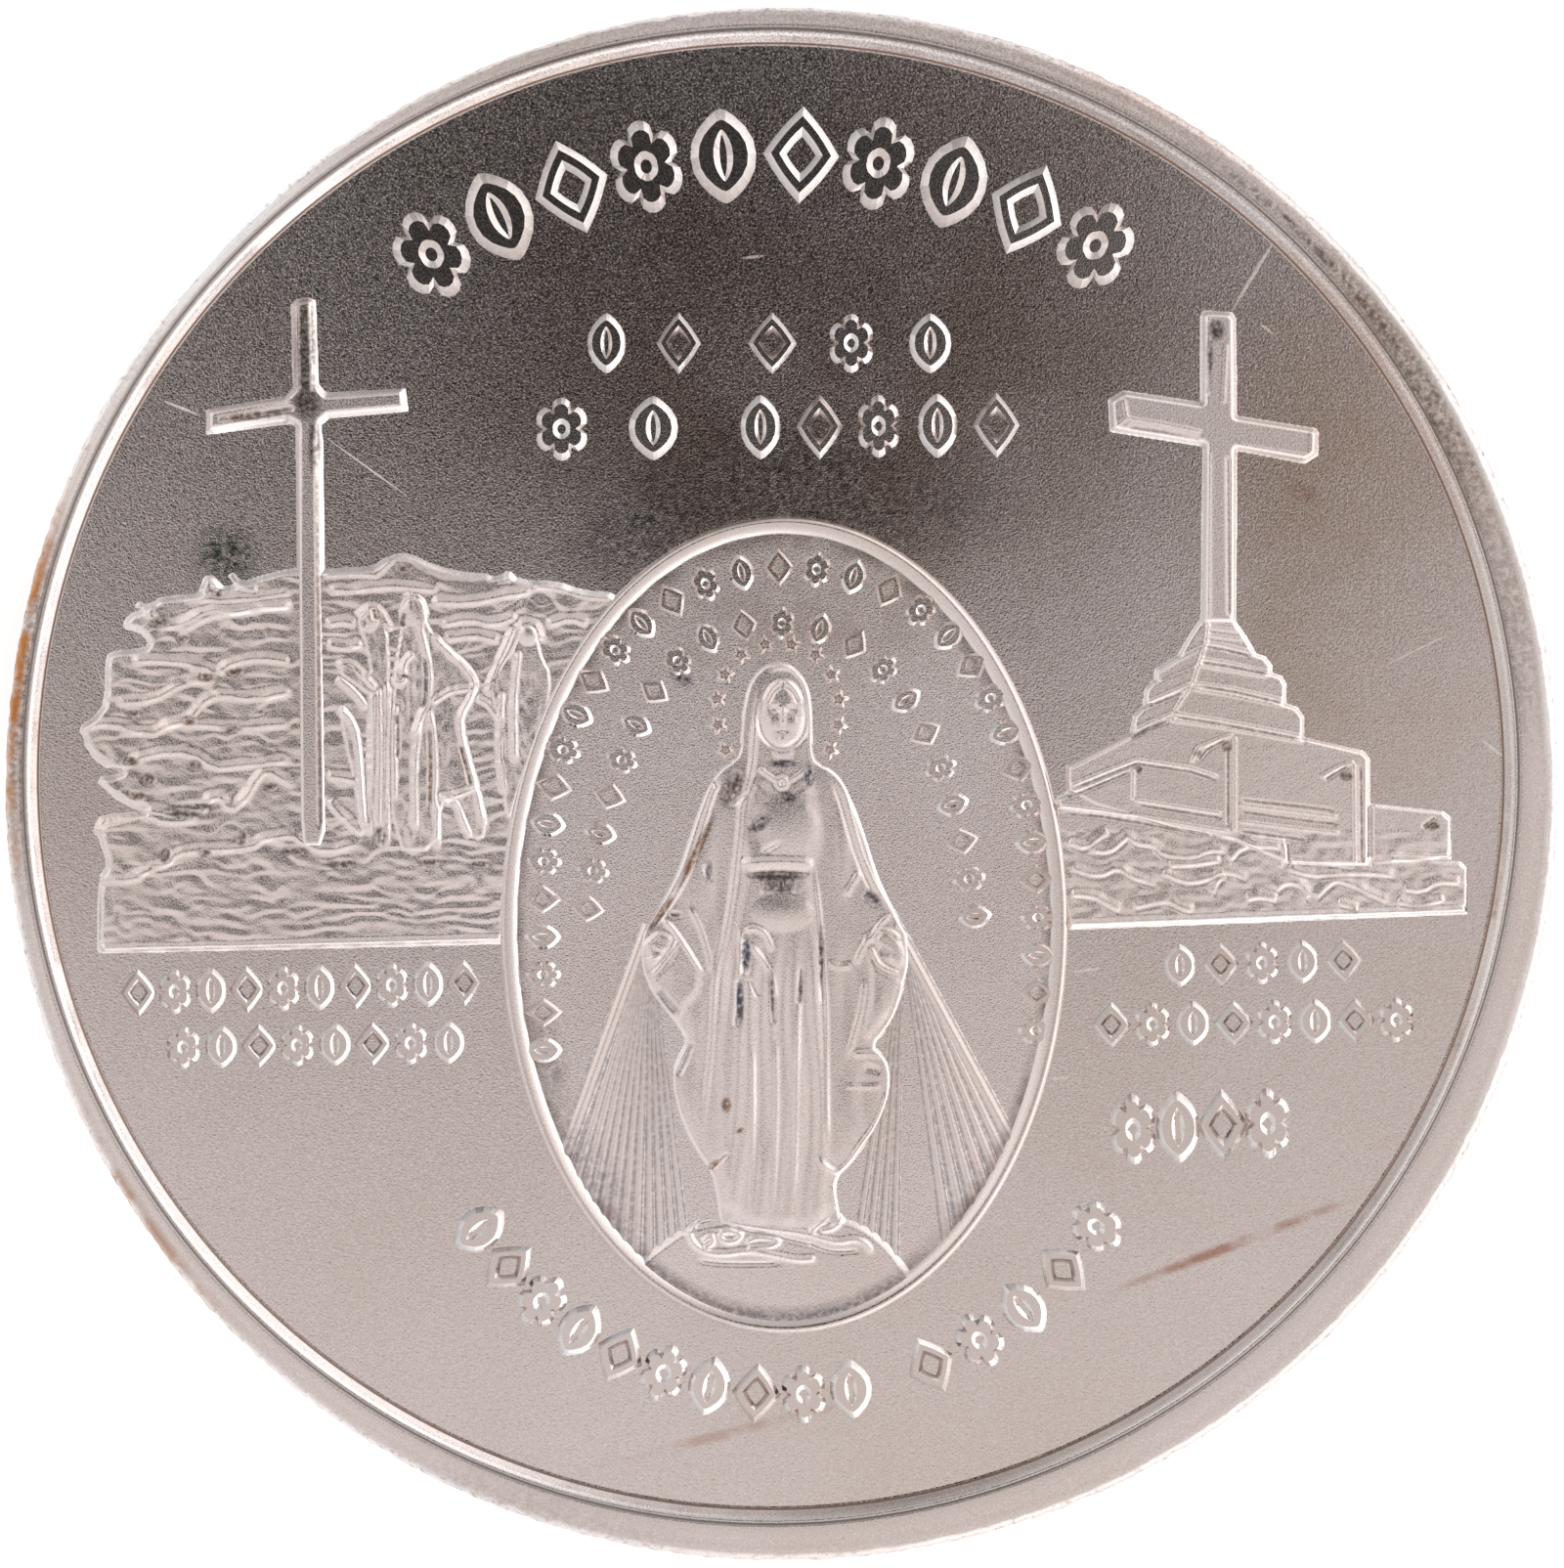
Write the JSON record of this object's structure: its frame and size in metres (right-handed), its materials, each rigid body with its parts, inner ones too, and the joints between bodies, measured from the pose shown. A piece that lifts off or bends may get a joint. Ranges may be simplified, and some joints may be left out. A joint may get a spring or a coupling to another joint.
{
  "type": "devotional medal",
  "caption": "Round struck silver devotional medal with raised rims, an oval medallion with a robed Lady, crosses, a hillside and a stepped plinth in low relief.",
  "frame": {"origin": "centre of the disc on the surface that the reverse rim rests on", "axes": "+Z out of the obverse, +Y up in the design, +X to the right of the design"},
  "size_m": [0.039, 0.039, 0.003],
  "materials": {
    "silver": "struck satin silver with light toning and a scuffed rim"
  },
  "bodies": {
    "root": {"medal": "silver"}
  },
  "joints": []
}
